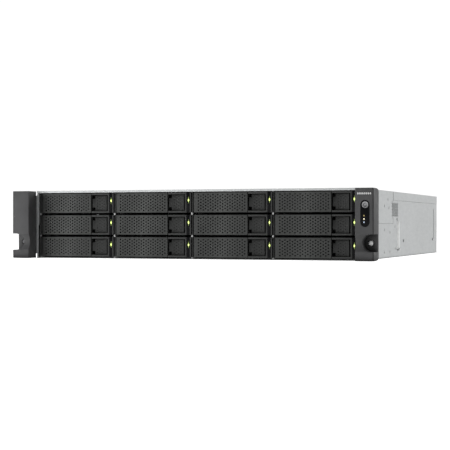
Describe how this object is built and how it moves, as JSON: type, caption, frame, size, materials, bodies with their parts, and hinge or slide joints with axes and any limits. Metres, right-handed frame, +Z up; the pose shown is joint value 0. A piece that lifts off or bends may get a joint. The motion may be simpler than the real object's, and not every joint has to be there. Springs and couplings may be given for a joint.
{
  "type": "network attached storage",
  "caption": "Flat rack-mounted storage server with a front grid of pull-out drive trays with lever handles, screw-down rack ears and plug-in power supplies at the rear.",
  "frame": {"origin": "middle of the footprint, on the surface the base rests on", "axes": "+X to the right seen from the front, +Y to the rear, +Z up"},
  "size_m": [0.4826, 0.56, 0.0882],
  "materials": {
    "chassis_steel": "satin galvanised sheet",
    "cover_steel": "satin galvanised sheet",
    "ear_plastic": "fine-grained moulded plastic",
    "window_plastic": "dark gloss window",
    "button_metal": "satin silver",
    "screw_metal": "bright plated",
    "drive_metal": "cast and stamped drive case",
    "bezel_plastic": "moulded tray front",
    "handle_plastic": "moulded grille",
    "release_plastic": "moulded paddle",
    "lamp_green": "lit lens",
    "lamp_warm": "lit lens",
    "board_green": "solder-masked circuit board",
    "part_black": "moulded component",
    "gold_contact": "plated contact",
    "sink_aluminium": "extruded",
    "fan_plastic": "moulded",
    "psu_metal": "folded sheet case",
    "latch_plastic": "coloured moulded lever",
    "fastener_steel": "plated"
  },
  "bodies": {
    "chassis": {"chassis_base": "chassis_steel", "drive_cage": "chassis_steel", "front_cover": "cover_steel", "ear_left": "ear_plastic", "ear_right": "ear_plastic", "status_window": "window_plastic", "backplane": "board_green", "motherboard": "board_green", "heatsink": "sink_aluminium", "memory_modules": "board_green", "fan_frames": "fan_plastic", "rear_panel": "chassis_steel", "fasteners": "fastener_steel"},
    "cover_slide": {"top_cover": "cover_steel"},
    "screw_left": {"thumbscrew_left": "screw_metal"},
    "screw_right": {"thumbscrew_right": "screw_metal"},
    "button": {"power_button": "button_metal"},
    "rotor_1": {"fan_rotor_1": "fan_plastic"},
    "rotor_2": {"fan_rotor_2": "fan_plastic"},
    "rotor_3": {"fan_rotor_3": "fan_plastic"},
    "power_supply_1": {"psu_1": "psu_metal"},
    "latch_1": {"psu_latch_1": "latch_plastic"},
    "power_supply_2": {"psu_2": "psu_metal"},
    "latch_2": {"psu_latch_2": "latch_plastic"},
    "tray_body_01": {"tray_01": "drive_metal"},
    "handle_body_01": {"handle_01": "handle_plastic"},
    "release_body_01": {"release_01": "release_plastic"},
    "tray_body_02": {"tray_02": "drive_metal"},
    "handle_body_02": {"handle_02": "handle_plastic"},
    "release_body_02": {"release_02": "release_plastic"},
    "tray_body_03": {"tray_03": "drive_metal"},
    "handle_body_03": {"handle_03": "handle_plastic"},
    "release_body_03": {"release_03": "release_plastic"},
    "tray_body_04": {"tray_04": "drive_metal"},
    "handle_body_04": {"handle_04": "handle_plastic"},
    "release_body_04": {"release_04": "release_plastic"},
    "tray_body_05": {"tray_05": "drive_metal"},
    "handle_body_05": {"handle_05": "handle_plastic"},
    "release_body_05": {"release_05": "release_plastic"},
    "tray_body_06": {"tray_06": "drive_metal"},
    "handle_body_06": {"handle_06": "handle_plastic"},
    "release_body_06": {"release_06": "release_plastic"},
    "tray_body_07": {"tray_07": "drive_metal"},
    "handle_body_07": {"handle_07": "handle_plastic"},
    "release_body_07": {"release_07": "release_plastic"},
    "tray_body_08": {"tray_08": "drive_metal"},
    "handle_body_08": {"handle_08": "handle_plastic"},
    "release_body_08": {"release_08": "release_plastic"},
    "tray_body_09": {"tray_09": "drive_metal"},
    "handle_body_09": {"handle_09": "handle_plastic"},
    "release_body_09": {"release_09": "release_plastic"},
    "tray_body_10": {"tray_10": "drive_metal"},
    "handle_body_10": {"handle_10": "handle_plastic"},
    "release_body_10": {"release_10": "release_plastic"},
    "tray_body_11": {"tray_11": "drive_metal"},
    "handle_body_11": {"handle_11": "handle_plastic"},
    "release_body_11": {"release_11": "release_plastic"},
    "tray_body_12": {"tray_12": "drive_metal"},
    "handle_body_12": {"handle_12": "handle_plastic"},
    "release_body_12": {"release_12": "release_plastic"}
  },
  "joints": [
    {"name": "top_cover_slide", "type": "slide", "parent": "chassis", "child": "cover_slide", "axis": [0, 1, 0], "range_m": [0, 0.012]},
    {"name": "thumbscrew_left_turn", "type": "hinge", "parent": "chassis", "child": "screw_left", "pos_m": [-0.23255, -0.2616, 0.02177], "axis": [0, 1, 0], "continuous": true},
    {"name": "thumbscrew_right_turn", "type": "hinge", "parent": "chassis", "child": "screw_right", "pos_m": [0.23255, -0.2616, 0.02177], "axis": [0, 1, 0], "continuous": true},
    {"name": "power_button_press", "type": "slide", "parent": "chassis", "child": "button", "axis": [0, 1, 0], "range_m": [0, 0.0015], "stiffness_N_per_m": 600},
    {"name": "fan_1_spin", "type": "hinge", "parent": "chassis", "child": "rotor_1", "pos_m": [-0.142, -0.023, 0.0436], "axis": [0, 1, 0], "continuous": true},
    {"name": "fan_2_spin", "type": "hinge", "parent": "chassis", "child": "rotor_2", "pos_m": [0, -0.023, 0.0436], "axis": [0, 1, 0], "continuous": true},
    {"name": "fan_3_spin", "type": "hinge", "parent": "chassis", "child": "rotor_3", "pos_m": [0.142, -0.023, 0.0436], "axis": [0, 1, 0], "continuous": true},
    {"name": "psu_1_slide", "type": "slide", "parent": "chassis", "child": "power_supply_1", "axis": [0, 1, 0], "range_m": [0, 0.18]},
    {"name": "psu_latch_1_press", "type": "hinge", "parent": "power_supply_1", "child": "latch_1", "pos_m": [0.2099, 0.2532, 0.022], "axis": [0, 0, 1], "range_deg": [0, 12], "stiffness_Nm_per_rad": 0.06},
    {"name": "psu_2_slide", "type": "slide", "parent": "chassis", "child": "power_supply_2", "axis": [0, 1, 0], "range_m": [0, 0.18]},
    {"name": "psu_latch_2_press", "type": "hinge", "parent": "power_supply_2", "child": "latch_2", "pos_m": [0.2099, 0.2532, 0.0652], "axis": [0, 0, 1], "range_deg": [0, 12], "stiffness_Nm_per_rad": 0.06},
    {"name": "tray_01_slide", "type": "slide", "parent": "chassis", "child": "tray_body_01", "axis": [0, -1, 0], "range_m": [0, 0.172]},
    {"name": "handle_01_swing", "type": "hinge", "parent": "tray_body_01", "child": "handle_body_01", "pos_m": [-0.2083, -0.2526, 0.07175], "axis": [0, 0, -1], "range_deg": [0, 75]},
    {"name": "release_01_press", "type": "slide", "parent": "tray_body_01", "child": "release_body_01", "axis": [0, 1, 0], "range_m": [0, 0.0025], "stiffness_N_per_m": 800},
    {"name": "tray_02_slide", "type": "slide", "parent": "chassis", "child": "tray_body_02", "axis": [0, -1, 0], "range_m": [0, 0.172]},
    {"name": "handle_02_swing", "type": "hinge", "parent": "tray_body_02", "child": "handle_body_02", "pos_m": [-0.1012, -0.2526, 0.07175], "axis": [0, 0, -1], "range_deg": [0, 75]},
    {"name": "release_02_press", "type": "slide", "parent": "tray_body_02", "child": "release_body_02", "axis": [0, 1, 0], "range_m": [0, 0.0025], "stiffness_N_per_m": 800},
    {"name": "tray_03_slide", "type": "slide", "parent": "chassis", "child": "tray_body_03", "axis": [0, -1, 0], "range_m": [0, 0.172]},
    {"name": "handle_03_swing", "type": "hinge", "parent": "tray_body_03", "child": "handle_body_03", "pos_m": [0.0059, -0.2526, 0.07175], "axis": [0, 0, -1], "range_deg": [0, 75]},
    {"name": "release_03_press", "type": "slide", "parent": "tray_body_03", "child": "release_body_03", "axis": [0, 1, 0], "range_m": [0, 0.0025], "stiffness_N_per_m": 800},
    {"name": "tray_04_slide", "type": "slide", "parent": "chassis", "child": "tray_body_04", "axis": [0, -1, 0], "range_m": [0, 0.172]},
    {"name": "handle_04_swing", "type": "hinge", "parent": "tray_body_04", "child": "handle_body_04", "pos_m": [0.113, -0.2526, 0.07175], "axis": [0, 0, -1], "range_deg": [0, 75]},
    {"name": "release_04_press", "type": "slide", "parent": "tray_body_04", "child": "release_body_04", "axis": [0, 1, 0], "range_m": [0, 0.0025], "stiffness_N_per_m": 800},
    {"name": "tray_05_slide", "type": "slide", "parent": "chassis", "child": "tray_body_05", "axis": [0, -1, 0], "range_m": [0, 0.172]},
    {"name": "handle_05_swing", "type": "hinge", "parent": "tray_body_05", "child": "handle_body_05", "pos_m": [-0.2083, -0.2526, 0.04355], "axis": [0, 0, -1], "range_deg": [0, 75]},
    {"name": "release_05_press", "type": "slide", "parent": "tray_body_05", "child": "release_body_05", "axis": [0, 1, 0], "range_m": [0, 0.0025], "stiffness_N_per_m": 800},
    {"name": "tray_06_slide", "type": "slide", "parent": "chassis", "child": "tray_body_06", "axis": [0, -1, 0], "range_m": [0, 0.172]},
    {"name": "handle_06_swing", "type": "hinge", "parent": "tray_body_06", "child": "handle_body_06", "pos_m": [-0.1012, -0.2526, 0.04355], "axis": [0, 0, -1], "range_deg": [0, 75]},
    {"name": "release_06_press", "type": "slide", "parent": "tray_body_06", "child": "release_body_06", "axis": [0, 1, 0], "range_m": [0, 0.0025], "stiffness_N_per_m": 800},
    {"name": "tray_07_slide", "type": "slide", "parent": "chassis", "child": "tray_body_07", "axis": [0, -1, 0], "range_m": [0, 0.172]},
    {"name": "handle_07_swing", "type": "hinge", "parent": "tray_body_07", "child": "handle_body_07", "pos_m": [0.0059, -0.2526, 0.04355], "axis": [0, 0, -1], "range_deg": [0, 75]},
    {"name": "release_07_press", "type": "slide", "parent": "tray_body_07", "child": "release_body_07", "axis": [0, 1, 0], "range_m": [0, 0.0025], "stiffness_N_per_m": 800},
    {"name": "tray_08_slide", "type": "slide", "parent": "chassis", "child": "tray_body_08", "axis": [0, -1, 0], "range_m": [0, 0.172]},
    {"name": "handle_08_swing", "type": "hinge", "parent": "tray_body_08", "child": "handle_body_08", "pos_m": [0.113, -0.2526, 0.04355], "axis": [0, 0, -1], "range_deg": [0, 75]},
    {"name": "release_08_press", "type": "slide", "parent": "tray_body_08", "child": "release_body_08", "axis": [0, 1, 0], "range_m": [0, 0.0025], "stiffness_N_per_m": 800},
    {"name": "tray_09_slide", "type": "slide", "parent": "chassis", "child": "tray_body_09", "axis": [0, -1, 0], "range_m": [0, 0.172]},
    {"name": "handle_09_swing", "type": "hinge", "parent": "tray_body_09", "child": "handle_body_09", "pos_m": [-0.2083, -0.2526, 0.01535], "axis": [0, 0, -1], "range_deg": [0, 75]},
    {"name": "release_09_press", "type": "slide", "parent": "tray_body_09", "child": "release_body_09", "axis": [0, 1, 0], "range_m": [0, 0.0025], "stiffness_N_per_m": 800},
    {"name": "tray_10_slide", "type": "slide", "parent": "chassis", "child": "tray_body_10", "axis": [0, -1, 0], "range_m": [0, 0.172]},
    {"name": "handle_10_swing", "type": "hinge", "parent": "tray_body_10", "child": "handle_body_10", "pos_m": [-0.1012, -0.2526, 0.01535], "axis": [0, 0, -1], "range_deg": [0, 75]},
    {"name": "release_10_press", "type": "slide", "parent": "tray_body_10", "child": "release_body_10", "axis": [0, 1, 0], "range_m": [0, 0.0025], "stiffness_N_per_m": 800},
    {"name": "tray_11_slide", "type": "slide", "parent": "chassis", "child": "tray_body_11", "axis": [0, -1, 0], "range_m": [0, 0.172]},
    {"name": "handle_11_swing", "type": "hinge", "parent": "tray_body_11", "child": "handle_body_11", "pos_m": [0.0059, -0.2526, 0.01535], "axis": [0, 0, -1], "range_deg": [0, 75]},
    {"name": "release_11_press", "type": "slide", "parent": "tray_body_11", "child": "release_body_11", "axis": [0, 1, 0], "range_m": [0, 0.0025], "stiffness_N_per_m": 800},
    {"name": "tray_12_slide", "type": "slide", "parent": "chassis", "child": "tray_body_12", "axis": [0, -1, 0], "range_m": [0, 0.172]},
    {"name": "handle_12_swing", "type": "hinge", "parent": "tray_body_12", "child": "handle_body_12", "pos_m": [0.113, -0.2526, 0.01535], "axis": [0, 0, -1], "range_deg": [0, 75]},
    {"name": "release_12_press", "type": "slide", "parent": "tray_body_12", "child": "release_body_12", "axis": [0, 1, 0], "range_m": [0, 0.0025], "stiffness_N_per_m": 800}
  ]
}
